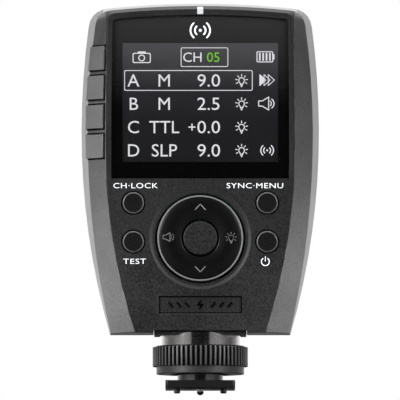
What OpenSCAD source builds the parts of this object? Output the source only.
// Wireless flash trigger: a folding housing with a screen and keys on a screw-lock hot-shoe foot.
// X is to the right, the screen faces -Y, Z is up. The origin is the centre of the foot's underside.

/* [Housing] */
// Half of the body's greatest width
body_half = 31.7; // [31.3:0.1:32.1]
// Height of the arched top above the foot's underside
body_top = 103.2; // [102.8:0.1:103.8]
// Position of the front face
front_y = -12; // [-12.3:0.1:-11.9]
// Position of the back face
back_y = 9; // [8.9:0.1:9.4]
// Thickness of the shell's walls
wall = 1.6; // [1.5:0.05:1.7]
// Height of the ears' underside
body_bottom = 14.5; // [14.4:0.05:14.6]
// Rise of the front cover's lower edge over the hinge block
cover_notch = 0.65; // [0.5:0.05:0.8]
// Gap between neighbouring shells
seam = 0.05; // [0.04:0.01:0.08]

/* [Screen] */
// Half-width of the screen's window
window_half = 23.6; // [23.3:0.1:23.7]
// Lower edge of the window
window_bottom = 55.7; // [55.4:0.1:55.9]
// Top of the window's arched upper edge
window_top = 99.1; // [98.9:0.05:99.2]
// Half-width of the visible picture
picture_half = 20.7; // [20.3:0.1:20.8]
// Lower edge of the picture
picture_bottom = 60.1; // [59.8:0.1:60.4]
// Upper edge of the picture
picture_top = 91.8; // [91.5:0.1:92]

/* [Keys] */
// Distance of the round buttons' centres from the middle
button_x = 17.8; // [17.6:0.05:17.9]
// Height of the upper pair of round buttons
button_high = 49.1; // [48.9:0.1:49.3]
// Height of the lower pair of round buttons
button_low = 38.75; // [38.5:0.05:39]
// Radius of a round button
button_r = 2.85; // [2.7:0.05:2.9]
// Height of the rocker's centre
rocker_z = 39.7; // [39.5:0.1:39.9]
// Outer radius of the rocker with its rim
rocker_r = 11.4; // [11.2:0.05:11.5]
// Radius of the centre button
centre_r = 4.57; // [4.4:0.01:4.6]
// Travel of the push buttons and the group keys
key_travel = 0.5; // [0.4:0.05:0.5]
// Height of one group key
group_height = 6.4; // [6.2:0.1:6.6]
// Distance between neighbouring group keys
group_pitch = 7.83; // [7.7:0.01:7.9]
// Height of the lowest group key's centre
group_low = 64.35; // [64.2:0.05:64.5]

/* [Hinge] */
// Height of the fold axis
hinge_z = 21; // [20.9:0.05:21.1]
// Position of the fold axis from front to back
hinge_y = 1.5; // [1.4:0.05:1.6]
// Half-width of the hinge block
block_half = 12.3; // [12.1:0.05:12.35]
// Radius of the hinge pin
pin_r = 1.6; // [1.5:0.05:1.7]
// Clearance of the pin in its bushes
pin_play = 0.05; // [0.03:0.01:0.08]

/* [Foot] */
// Width of the foot plate between the shoe's rails
foot_width = 18.6; // [18.4:0.05:18.65]
// Depth of the foot plate from front to back
foot_depth = 18; // [17.5:0.1:18]
// Thickness of the foot plate
foot_height = 2.1; // [2:0.05:2.1]
// Radius of the neck above the foot plate
neck_r = 6.15; // [6:0.05:6.2]
// Radius of the thread that carries the lock ring
thread_r = 8; // [7.8:0.05:8.1]
// Radius of the lock ring over its ribs
ring_r = 12.7; // [12.5:0.05:12.75]
// Number of ribs on the lock ring
rib_count = 60; // [48:2:64]
// Radius of the collar
collar_r = 10.8; // [10.6:0.05:10.8]

/* [Hidden] */
$fn = 64;

far = 60;              // larger than any cut needs
cover_back = front_y + wall;                 // inner face of the front cover
bevel_in = body_half - 6.5;                  // half-width where the front face meets the bevel
bevel_out = body_half - 1.7;                 // half-width where the bevel meets the side
bevel_y = front_y + 4.4;                     // where the bevel meets the side
split_y = 1;                                 // seam between the trims and the back shell
rim_half = 25;                               // half-width of the front cover's top rim
cap_half = 26.1;                             // half-width of the top cap
ear_gap = 0.15;                              // gap between the hinge block and each ear
ear_in = block_half + ear_gap;               // inner face of an ear
well_wall = 1.2;
boss_r = 3.4;                                // hinge boss in each ear
boss_out = 17.8;                             // outer end of a hinge boss
bush_r = 2.4;
key_gap = 0.35;
window_depth = 1.15;                         // depth of the pocket for the screen window
lcd_y = cover_back + 0.1;                    // front of the LCD panel
board_y = -3.4;                              // front of the main board
board_thick = 1.2;
keys_y = -7.4;                               // front of the key board
plunger_y = -9;                              // top of the front switches
cap_back = plunger_y - key_travel - 0.1;     // back of each pressed part
housing_screw_at = [[23, 94.8], [17.5, 27.5]];
frame_screw_at = [[19.6, 61], [19.6, 91.5]];
key_screw_at = [[13.2, 52.6], [13.2, 33]];
jack_at = [4.1, 48];                         // y and z of the sync jack
jack_r = 1.8;
jack_out = 29.2;                             // outer end of the sync jack
usb_at = [3.6, 64];                          // y and z of the USB port
foot_screw_at = [3.2, 4.2];
side_contact_at = [6.2, 3.5];
collar_low = 9.5;
collar_top = 14.95;
ring_low = 4;
ring_lip_top = 6;
ring_top = 11.5;
rib_depth = 0.8;

// A section of the body across Y:
// [y, half-width, apex height, height of the widest point, radius below it, radius above it, corner, bottom]
BODY = [
  [front_y, bevel_in, body_top - 2.4, 64, 160, 1000, 2, body_bottom + 0.25],
  [bevel_y, bevel_out, body_top - 1.2, 68, 235, 207, 3.6, body_bottom],
  [split_y, body_half, body_top, 68.7, 195, 215, 4.5, body_bottom],
  [back_y - 2.5, body_half - 0.9, body_top - 0.7, 68.7, 195, 215, 4.5, body_bottom + 0.9],
  [back_y - 0.8, body_half - 2.3, body_top - 2, 68.7, 195, 215, 4, body_bottom + 3.6],
  [back_y, body_half - 4.2, body_top - 3.8, 68.7, 195, 215, 3.5, body_bottom + 6.5]
];
CAVITY = [
  [cover_back, bevel_in - 0.45, body_top - 3.6, 64, 160, 1000, 1.5, body_bottom + wall + 0.1],
  [bevel_y + 0.7, bevel_out - wall, body_top - 2.9, 68, 235, 207, 2.4, body_bottom + wall],
  [split_y, body_half - wall, body_top - wall, 68.7, 195, 215, 3.2, body_bottom + wall],
  [back_y - 3, body_half - wall - 0.9, body_top - 2.4, 68.7, 195, 215, 3.2, body_bottom + wall + 0.9],
  [back_y - wall, body_half - 4.1, body_top - 4.2, 68.7, 195, 215, 2.5, body_bottom + wall + 4]
];
GLASS = [front_y, window_half, window_top, 66, 1300, 1300, 1, window_bottom];

// ---- outline of a section, as a formula ----
function edge_x(s, z) = let (r = z < s[3] ? s[4] : s[5]) s[1] - r + sqrt(r * r - (z - s[3]) * (z - s[3]));
function top_z(s, x) = s[2] - 240 + sqrt(240 * 240 - x * x);
function meet_z(s, z, n) = n == 0 ? z : meet_z(s, top_z(s, edge_x(s, z)), n - 1);
function blend(a, p, b, t) = (1 - t) * (1 - t) * a + 2 * t * (1 - t) * p + t * t * b;
function right_side(s, side_steps = 12, corner_steps = 5, top_steps = 6) =
  let (
    meet = [edge_x(s, meet_z(s, s[2], 6)), meet_z(s, s[2], 6)],
    low = [edge_x(s, meet[1] - s[6]), meet[1] - s[6]],
    high = [meet[0] - s[6], top_z(s, meet[0] - s[6])]
  )
  concat(
    [for (i = [0:side_steps - 1]) let (z = s[7] + (low[1] - s[7]) * i / side_steps) [edge_x(s, z), z]],
    [for (i = [0:corner_steps]) blend(low, meet, high, i / corner_steps)],
    [for (i = [1:top_steps - 1]) let (x = high[0] * (1 - i / top_steps)) [x, top_z(s, x)]]
  );
function outline(s) =
  let (right = right_side(s), n = len(right))
  concat(right, [[0, top_z(s, 0)]], [for (i = [n - 1:-1:0]) [-right[i][0], right[i][1]]]);

// ---- placing helpers ----
// Extrudes a drawing of X and Z from y0 back to y1
module along_y(y0, y1) {
  translate([0, y1, 0]) rotate([90, 0, 0]) linear_extrude(y1 - y0) children();
}
// Extrudes a drawing of Y and Z from x0 to x1
module along_x(x0, x1) {
  translate([x0, 0, 0]) rotate([90, 0, 90]) linear_extrude(x1 - x0) children();
}
module rod_y(x, z, r, y0, y1) {
  translate([x, y1, z]) rotate([90, 0, 0]) cylinder(r = r, h = y1 - y0);
}
module rod_x(y, z, r, x0, x1) {
  translate([x0, y, z]) rotate([0, 90, 0]) cylinder(r = r, h = x1 - x0);
}
module rod_z(x, y, r, z0, z1) {
  translate([x, y, z0]) cylinder(r = r, h = z1 - z0);
}
module block(low, high) {
  translate(low) cube(high - low);
}
module both_sides() {
  children();
  mirror([1, 0, 0]) children();
}
module rounded_bar(half, y0, y1, z0, z1, r) {
  for (x = [-half + r, half - r], z = [z0 + r, z1 - r]) rod_y(x, z, r, y0, y1);
  block([-half + r, y0, z0], [half - r, y1, z1]);
  block([-half, y0, z0 + r], [half, y1, z1 - r]);
}

// ---- the body's form ----
module loft(sections, thin = 0.02) {
  last = len(sections) - 1;
  hull() for (i = [0:last]) {
    y = sections[i][0];
    along_y(i == last ? y - thin : y, i == last ? y : y + thin) polygon(outline(sections[i]));
  }
}
module shell() {
  difference() {
    loft(BODY);
    loft(CAVITY);
  }
}
// The prism inside which the front cover's face lies
module face_prism(grow, y1) {
  s = BODY[0];
  along_y(front_y - 1, y1)
    polygon(outline([s[0], s[1] + grow, s[2] + 3, s[3], s[4], s[5], s[6], s[7] - 3]));
}
module hinge_well(grow) {
  half = ear_in + grow;
  block([-half, cover_back - far, 0], [half, back_y + far, hinge_z + 7 + grow]);
  block([-half, 6.4 - grow, 0], [half, back_y + far, hinge_z + 10 + grow]);
}
module hinge_boss() {
  both_sides() rod_x(hinge_y, hinge_z, boss_r, ear_in, boss_out);
}

// ---- shoe side ----
module foot_outline(r = 0.8) {
  x = foot_width / 2;
  y = foot_depth / 2;
  for (i = [-1, 1], j = [-1, 1]) translate([i * (x - r), j * (y - r)]) circle(r);
  translate([-x + r, -y]) square([foot_width - 2 * r, foot_depth]);
  translate([-x, -y + r]) square([foot_width, foot_depth - 2 * r]);
}
module insert_space() {
  block([-7.6, -2.4, -1], [7.6, 5.2, 1.5]);
}
module foot_screw_shape(grow = 0) {
  for (i = [-1, 1], j = [-1, 1]) {
    rod_z(i * foot_screw_at[0], j * foot_screw_at[1], 0.8, 0.9, 4.6);
    rod_z(i * foot_screw_at[0], j * foot_screw_at[1], 1.4 + grow, 0.15 - 10 * grow, 1);
  }
}
module centre_bore() {
  rod_z(0, 0, 1, -1, 1.55);
  rod_z(0, 0, 1.9, 1.5, 4.7);
}
module foot_plate() {
  color("#4a4a4d") difference() {
    linear_extrude(foot_height) foot_outline();
    insert_space();
    foot_screw_shape(0.05);
    centre_bore();
  }
}
module contact_block() {
  color("#1c1c1e") difference() {
    intersection() {
      insert_space();
      block([-far, -far, 0], [far, far, 1.5]);
    }
    foot_screw_shape(0.05);
    centre_bore();
    both_sides() {
      rod_z(side_contact_at[0], side_contact_at[1], 0.92, -1, 1);
      rod_z(side_contact_at[0], side_contact_at[1], 1.45, 0.5, 2);
    }
  }
}
module foot_screws() {
  color("#77777a") difference() {
    foot_screw_shape();
    for (i = [-1, 1], j = [-1, 1]) translate([i * foot_screw_at[0], j * foot_screw_at[1], 0.3])
      for (a = [0, 90]) rotate(a) cube([1.6, 0.3, 0.6], center = true);
  }
}
module foot_neck() {
  color("#b9b9bc") difference() {
    rod_z(0, 0, neck_r, foot_height, 4.9);
    foot_screw_shape(0.05);
    centre_bore();
  }
}
module thread_post() {
  color("#a9a9ac") difference() {
    rod_z(0, 0, thread_r, 4.9, collar_low);
    rod_z(0, 0, 3, 5.6, collar_low + 1);
  }
}
module neck_collar() {
  color("#c9c9cc") difference() {
    rod_z(0, 0, collar_r, collar_low, collar_top);
    rod_z(0, 0, 3, collar_low - 1, collar_top + 1);
  }
}
module hinge_block() {
  front = cover_back + 0.2;
  arch_r = 65;
  color("#2f2f32") difference() {
    union() {
      rod_x(hinge_y, hinge_z, 6.2, -block_half, block_half);
      along_x(-block_half, block_half) polygon([
        [front, 14.3], [7.7, 14.3], [7.7, hinge_z], [hinge_y - 6.2, hinge_z], [front, 15.6]
      ]);
      block([-block_half, front_y + 0.8, 14.3], [block_half, front, 14.95]);
    }
    rod_z(0, 0, collar_r + 0.05, 10, collar_top);
    translate([0, -far, 15 - arch_r]) rotate([-90, 0, 0]) cylinder(r = arch_r, h = 2 * far, $fn = 256);
    rod_x(hinge_y, hinge_z, pin_r, -far, far);
    both_sides() rod_x(hinge_y, hinge_z, 3, block_half - 0.6, block_half + 1);
    rod_z(0, 0, 2.5, 14, hinge_z - 2.5);
  }
}
module hinge_pin() {
  color("#98989b") rod_x(hinge_y, hinge_z, pin_r, -16.9, 16.9);
}
module hinge_washers() {
  color("#a58d55") both_sides() difference() {
    rod_x(hinge_y, hinge_z, 2.9, block_half - 0.55, block_half + 0.1);
    rod_x(hinge_y, hinge_z, pin_r + pin_play, 0, far);
  }
}

// A coil spring: a round wire swept along a helix
spring_r = 1.35;
spring_wire = 0.17;
spring_low = 2.42;
spring_high = 4.5;
spring_turns = 5;
spring_steps = 80;
wire_sides = 8;
function spring_point(i, j) =
  let (
    turn = 360 * spring_turns * i / spring_steps,
    a = 360 * j / wire_sides,
    r = spring_r + spring_wire * cos(a),
    z = spring_low + (spring_high - spring_low) * i / spring_steps + spring_wire * sin(a)
  )
  [r * cos(turn), r * sin(turn), z];
module contact_spring() {
  points = [for (i = [0:spring_steps], j = [0:wire_sides - 1]) spring_point(i, j)];
  sides = [for (i = [0:spring_steps - 1], j = [0:wire_sides - 1]) let (k = (j + 1) % wire_sides) [
    i * wire_sides + j, i * wire_sides + k, (i + 1) * wire_sides + k, (i + 1) * wire_sides + j
  ]];
  first = [for (j = [wire_sides - 1:-1:0]) j];
  last = [for (j = [0:wire_sides - 1]) spring_steps * wire_sides + j];
  color("#c4a54a") polyhedron(points, concat([first, last], sides), convexity = 12);
}
module centre_contact() {
  color("#d8d8da") {
    difference() {
      translate([0, 0, -0.65]) sphere(0.95);
      block([-2, -2, -0.65], [2, 2, 1]);
    }
    rod_z(0, 0, 0.95, -0.65, 1.6);
    rod_z(0, 0, 1.6, 1.6, 2.2);
    rod_z(0, 0, 0.7, 2.2, 3.2);
  }
}
module side_contact() {
  x = side_contact_at[0];
  y = side_contact_at[1];
  color("#b0b0b3") {
    translate([x, y, -0.95]) cylinder(r1 = 0.62, r2 = 0.87, h = 0.25);
    rod_z(x, y, 0.87, -0.7, 0.6);
    rod_z(x, y, 1.15, 0.55, 0.9);
  }
}
module side_contact_left() {
  mirror([1, 0, 0]) side_contact();
}
module side_contact_right() {
  side_contact();
}
module pressure_plate() {
  color("#5a5a5d") difference() {
    rod_z(0, 0, 10.6, ring_low - 0.05, 5.1);
    rod_z(0, 0, thread_r + 0.3, 0, 10);
    block([-7.2, 0, 0], [7.2, far, 10]);
  }
}
function rib_point(i) = let (
    step = 360 / (rib_count * 4),
    r = i % 4 < 2 ? ring_r : ring_r - rib_depth
  ) [r * cos(i * step), r * sin(i * step)];
module lock_ring() {
  color("#333335") difference() {
    union() {
      translate([0, 0, ring_lip_top]) linear_extrude(ring_top - 0.3 - ring_lip_top)
        polygon([for (i = [0:rib_count * 4 - 1]) rib_point(i)]);
      rod_z(0, 0, ring_r - rib_depth - 0.05, ring_lip_top, ring_top);
      rod_z(0, 0, ring_r - 1, ring_low, ring_lip_top + 1);
    }
    rod_z(0, 0, 10.95, ring_low - 1, 5.3);
    rod_z(0, 0, thread_r + 0.08, 0, far);
    rod_z(0, 0, collar_r + 0.3, 7.7, far);
  }
}

// ---- shells ----
module housing_bosses(r, y0, y1) {
  both_sides() for (p = housing_screw_at) rod_y(p[0], p[1], r, y0, y1);
}
module button_places(r, y0, y1) {
  both_sides() for (z = [button_low, button_high]) rod_y(button_x, z, r, y0, y1);
}
module front_cover() {
  color("#2b2b2d") difference() {
    union() {
      intersection() {
        loft(BODY);
        face_prism(-seam, cover_back);
      }
      intersection() {
        shell();
        block([-rim_half, front_y, 90], [rim_half, bevel_y - seam, far * 2]);
      }
      housing_bosses(1.6, cover_back, split_y - seam);
      both_sides() for (p = key_screw_at) rod_y(p[0], p[1], 1.4, cover_back, keys_y);
    }
    along_y(front_y - 1, front_y + window_depth) polygon(outline(GLASS + [0, 0.1, 0.1, 0, 0, 0, 0, -0.1]));
    block([-picture_half - 0.6, front_y - 1, picture_bottom - 0.6],
          [picture_half + 0.6, cover_back + 1, picture_top + 0.6]);
    block([-0.85, front_y - 1, window_top + 0.3], [0.85, -8.95, far * 2]);
    rod_y(0, rocker_z, rocker_r + 0.6, front_y - 1, cover_back + 1);
    rod_y(0, rocker_z, rocker_r + 1.4, front_y - 1, front_y + 0.4);
    translate([0, front_y + 0.4, rocker_z]) rotate([90, 0, 0])
      cylinder(r1 = rocker_r + 1.4, r2 = rocker_r + 2.1, h = 0.4);
    button_places(button_r + 0.4, front_y - 1, cover_back + 1);
    group_windows();
    block([-10.95, front_y - 1, 19.8], [10.95, front_y + 0.3, 24.2]);
    block([-ear_in, front_y - 1, 0], [ear_in, front_y + far, body_bottom + cover_notch]);
    housing_bosses(1, -6.2, split_y);
    both_sides() for (p = key_screw_at) rod_y(p[0], p[1], 0.8, -9.7, keys_y + 1);
  }
}
// The shell between the front cover's face and the back shell
module trim_ring() {
  difference() {
    shell();
    face_prism(0, cover_back + seam);
    block([-far, split_y, 0], [far, far, far * 2]);
    block([-rim_half - seam, front_y - 1, 90], [rim_half + seam, bevel_y, far * 2]);
    block([-ear_in, -far, 0], [ear_in, far, 60]);
  }
}
// The left bevel at height z: its direction from the front edge to the side, then a point on it.
// across runs from 0 at the front edge to 1 at the side, and depth is measured inward.
function bevel_span(z) = [edge_x(BODY[0], z) - edge_x(BODY[1], z), bevel_y - front_y];
function bevel_point(z, across, depth) =
  let (span = bevel_span(z), along = span / norm(span))
  [-edge_x(BODY[0], z), front_y] + across * span + depth * [along[1], -along[0]];
// A pad over the bevel from across a to b, and from depth d0 in to d1
module bevel_pad(z, half_height, a, b, d0, d1) {
  hull() for (h = [z - half_height, z + half_height - 0.01]) translate([0, 0, h]) linear_extrude(0.01)
    polygon([bevel_point(h, a, d0), bevel_point(h, b, d0), bevel_point(h, b, d1), bevel_point(h, a, d1)]);
}
module group_windows() {
  for (i = [0:3]) bevel_pad(group_low + i * group_pitch, group_height / 2 + key_gap, 0.05, 1.12, -2, 3);
}
module side_trim_left() {
  color("#8d8d91") difference() {
    intersection() {
      trim_ring();
      block([-far, -far, 0], [0, far, far * 2]);
    }
    block([-cap_half, bevel_y, 90], [far, far, far * 2]);
    group_windows();
  }
}
module side_trim_right() {
  color("#8d8d91") difference() {
    intersection() {
      trim_ring();
      block([0, -far, 0], [far, far, far * 2]);
    }
    block([-far, bevel_y, 90], [cap_half, far, far * 2]);
  }
}
module top_cap() {
  color("#b4b4b7") intersection() {
    shell();
    block([-cap_half + seam, bevel_y, 90], [cap_half - seam, split_y - seam, far * 2]);
  }
}
module back_shell() {
  color("#37373a") difference() {
    union() {
      intersection() {
        shell();
        block([-far, split_y, 0], [far, far, far * 2]);
      }
      intersection() {
        loft(CAVITY);
        union() {
          difference() {
            intersection() {
              hinge_well(well_wall);
              block([-far, cap_back + 0.2, 0], [far, far, far]);
            }
            hinge_well(0);
          }
          hinge_boss();
          housing_bosses(2.6, split_y, back_y);
        }
      }
    }
    hinge_well(0);
    rod_x(jack_at[0], jack_at[1], 2.7, 22, far);
    usb_shape(0.15, far);
    both_sides() rod_x(hinge_y, hinge_z, bush_r, 0, 17.1);
    housing_bosses(1.1, 0, back_y + 1);
    housing_bosses(2.1, 7, back_y + 1);
  }
}
module hinge_bushes() {
  color("#c9b98a") both_sides() difference() {
    rod_x(hinge_y, hinge_z, bush_r, ear_in + 0.1, 17);
    rod_x(hinge_y, hinge_z, pin_r + pin_play, 0, far);
  }
}
module housing_screws() {
  color("#6d6d70") both_sides() for (p = housing_screw_at) difference() {
    union() {
      rod_y(p[0], p[1], 1, -6.1, 7.1);
      rod_y(p[0], p[1], 1.9, 7, 8.1);
    }
    for (a = [0, 90]) translate([p[0], 8.1, p[1]]) rotate([0, a, 0]) cube([2.2, 1, 0.45], center = true);
  }
}
module board_screws() {
  color("#6d6d70") both_sides() {
    for (p = frame_screw_at) {
      rod_y(p[0], p[1], 0.7, -5.6, board_y + board_thick + 0.1);
      rod_y(p[0], p[1], 1.2, board_y + board_thick, board_y + board_thick + 0.55);
    }
    for (p = key_screw_at) {
      rod_y(p[0], p[1], 0.8, -9.6, keys_y + 1.1);
      rod_y(p[0], p[1], 1.3, keys_y + 1, keys_y + 1.6);
    }
  }
}

// ---- screen and electronics ----
module screen_window() {
  color("#141416") along_y(front_y, front_y + window_depth - 0.05) polygon(outline(GLASS));
}
module status_light() {
  z = window_top + 0.35;
  color("#dfe3e6") along_x(-0.8, 0.8) polygon([
    [front_y - 0.1, z], [-9, z], [-9, z + 2.15], [-9.5, z + 2.15], [front_y - 0.1, z + 1.45]
  ]);
}
module lcd_panel() {
  color("#32343a") rounded_bar(picture_half + 0.4, lcd_y, lcd_y + 1.5, picture_bottom - 1.5, picture_top + 1.6, 0.4);
}
module lcd_frame() {
  y = lcd_y + 1.55;
  color("#d7d7d2") difference() {
    union() {
      rounded_bar(picture_half + 0.5, y, -6, picture_bottom - 2.5, picture_top + 2.6, 0.8);
      both_sides() for (p = frame_screw_at) rod_y(p[0], p[1], 1.4, y, board_y);
    }
    difference() {
      rounded_bar(picture_half - 0.7, y + 0.8, 0, picture_bottom - 1.3, picture_top + 1.4, 0.8);
      both_sides() for (p = frame_screw_at) rod_y(p[0], p[1], 1.4, y, 1);
    }
    both_sides() for (p = frame_screw_at) rod_y(p[0], p[1], 0.7, -5.7, 0);
  }
}
module main_board() {
  y1 = board_y + board_thick;
  color("#1f5a3c") difference() {
    union() {
      block([-21, board_y, 33.5], [21, y1, 97]);
      block([20, board_y, jack_at[1] - 3.5], [27.4, y1, 71]);
    }
    both_sides() for (p = frame_screw_at) rod_y(p[0], p[1], 0.7, -9, 0);
  }
}
module key_board() {
  color("#1f5a3c") difference() {
    block([-21.5, keys_y, 31.4], [21.5, keys_y + 1, 54.3]);
    both_sides() for (p = key_screw_at) rod_y(p[0], p[1], 0.8, -9, 0);
  }
}
side_depth = 4.95;                             // depth of the side board under the bevel
side_top = group_low + 3 * group_pitch + 3;    // upper end of the side board
module side_key_board() {
  low = side_depth;
  high = side_depth + 0.6;
  color("#1f5a3c") translate([0, 0, group_low - 3]) linear_extrude(side_top - group_low + 3)
    polygon([for (q = [[0.16, low], [0.95, low], [0.95, high], [0.16, high]])
      bevel_point(side_top, q[0], q[1])]);
}
module tact_switch(x, z) {
  block([x - 1.5, plunger_y + 0.6, z - 1.5], [x + 1.5, keys_y, z + 1.5]);
  rod_y(x, z, 0.8, plunger_y, plunger_y + 0.7);
}
// A switch under a group key, standing on the side board
module side_switch(z) {
  c = bevel_point(side_top, 0.54, side_depth);
  span = bevel_span(side_top);
  translate([c[0], c[1], z]) rotate(-atan2(span[1], -span[0])) rotate([90, 0, 0]) {
    translate([-1.25, -1.25, 0]) cube([2.5, 2.5, 0.6]);
    cylinder(r = 0.6, h = 0.9);
  }
}
module tact_switches() {
  color("#8a8a8d") {
    both_sides() for (z = [button_low, button_high]) tact_switch(button_x, z);
    tact_switch(0, rocker_z);
    for (a = [0:90:270]) tact_switch(8.5 * cos(a), rocker_z + 8.5 * sin(a));
    for (i = [0:3]) side_switch(group_low + i * group_pitch);
  }
}
module battery() {
  color("#9aa0a8") {
    rounded_bar(18, -1.6, 6.4, 40, 86, 1.5);
  }
}
module antenna() {
  color("#b98f4a") block([-10, board_y, 97.05], [10, 0.6, 98.2]);
}
module buzzer() {
  color("#18181a") difference() {
    rod_y(0, 42, 4.5, -5.8, board_y);
    rod_y(0, 42, 0.8, -6, -5);
  }
}
module usb_shape(grow, x1) {
  r = 1.4 + grow;
  half = 4.3 - 1.4;
  for (z = [usb_at[1] - half, usb_at[1] + half]) rod_x(usb_at[0], z, r, 22.8, x1);
  block([22.8, usb_at[0] - r, usb_at[1] - half], [x1, usb_at[0] + r, usb_at[1] + half]);
}
module usb_port() {
  x1 = 30.5;
  color("#b5b5b8") difference() {
    union() {
      usb_shape(0.1, x1);
      block([22.8, board_y + board_thick, usb_at[1] - 3.5], [27, usb_at[0], usb_at[1] + 3.5]);
    }
    difference() {
      translate([1, 0, 0]) usb_shape(-0.15, x1 + 2);
      block([22, usb_at[0] - 0.35, usb_at[1] - 2.6], [x1 - 1, usb_at[0] + 0.35, usb_at[1] + 2.6]);
    }
  }
}
module sync_jack() {
  color("#232325") difference() {
    union() {
      block([18.3, board_y + board_thick, jack_at[1] - 2.8], [26.5, jack_at[0] + 2.6, jack_at[1] + 2.8]);
      rod_x(jack_at[0], jack_at[1], 2.6, 26, jack_out);
    }
    rod_x(jack_at[0], jack_at[1], jack_r, 19.3, far);
  }
}

// ---- moving controls ----
module rocker_pivot_ring() {
  color("#2a2a2c") difference() {
    rod_y(0, rocker_z, 6.9, -10.2, cap_back + 0.1);
    rod_y(0, rocker_z, 5.2, -11, 0);
  }
}
// The rocker's cross-section: radius, and distance in front of the cover's face
function rocker_face(t) = [5 + (rocker_r - 0.4 - 5) * t, 0.25 + 0.45 * sin(180 * t)];
module rocker() {
  back = -front_y - 10.6;
  color("#222224") union() {
    translate([0, front_y, rocker_z]) rotate([90, 0, 0]) rotate_extrude($fn = 96)
      polygon(concat([[rocker_r - 0.4, -back], [5, -back]], [for (i = [0:8]) rocker_face(i / 8)]));
    for (a = [0:90:270])
      rod_y(8.5 * cos(a), rocker_z + 8.5 * sin(a), 0.7, -10.7, cap_back);
  }
}
module rocker_rim() {
  color("#a9a9ac") difference() {
    rod_y(0, rocker_z, rocker_r, front_y - 0.3, -10.6);
    rod_y(0, rocker_z, rocker_r - 0.4, front_y - 2, 0);
  }
}
module push_cap(x, z, r, proud, flange) {
  color("#242426") {
    rod_y(x, z, r, front_y - proud + 0.25, cap_back);
    translate([x, front_y - proud + 0.25, z]) rotate([90, 0, 0]) cylinder(r1 = r, r2 = r - 0.3, h = 0.25);
    rod_y(x, z, flange, cover_back + 0.3, cap_back);
  }
}
module centre_button() {
  push_cap(0, rocker_z, centre_r, 0.6, centre_r);
}
module button_lock() {
  push_cap(-button_x, button_high, button_r, 0.5, button_r + 0.75);
}
module button_menu() {
  push_cap(button_x, button_high, button_r, 0.5, button_r + 0.75);
}
module button_test() {
  push_cap(-button_x, button_low, button_r, 0.5, button_r + 0.75);
}
module button_power() {
  push_cap(button_x, button_low, button_r, 0.5, button_r + 0.75);
}
module group_key(i) {
  z = group_low + i * group_pitch;
  half = group_height / 2;
  color("#97979a") {
    bevel_pad(z, half, 0.115, 1.08, -0.4, 2.2);
    bevel_pad(z, half + 0.55, 0.14, 0.9, 2, 2.6);
    bevel_pad(z, 1, 0.4, 0.66, 2.6, 3.3);
  }
}
module group_key_a() {
  group_key(3);
}
module group_key_b() {
  group_key(2);
}
module group_key_c() {
  group_key(1);
}
module group_key_d() {
  group_key(0);
}

foot_plate();
contact_block();
foot_screws();
foot_neck();
thread_post();
neck_collar();
hinge_block();
hinge_pin();
hinge_washers();
contact_spring();
centre_contact();
side_contact_left();
side_contact_right();
pressure_plate();
lock_ring();
front_cover();
side_trim_left();
side_trim_right();
top_cap();
back_shell();
hinge_bushes();
screen_window();
status_light();
lcd_panel();
lcd_frame();
main_board();
key_board();
side_key_board();
tact_switches();
battery();
antenna();
buzzer();
usb_port();
sync_jack();
housing_screws();
board_screws();
rocker_pivot_ring();
rocker();
rocker_rim();
centre_button();
button_lock();
button_menu();
button_test();
button_power();
group_key_a();
group_key_b();
group_key_c();
group_key_d();
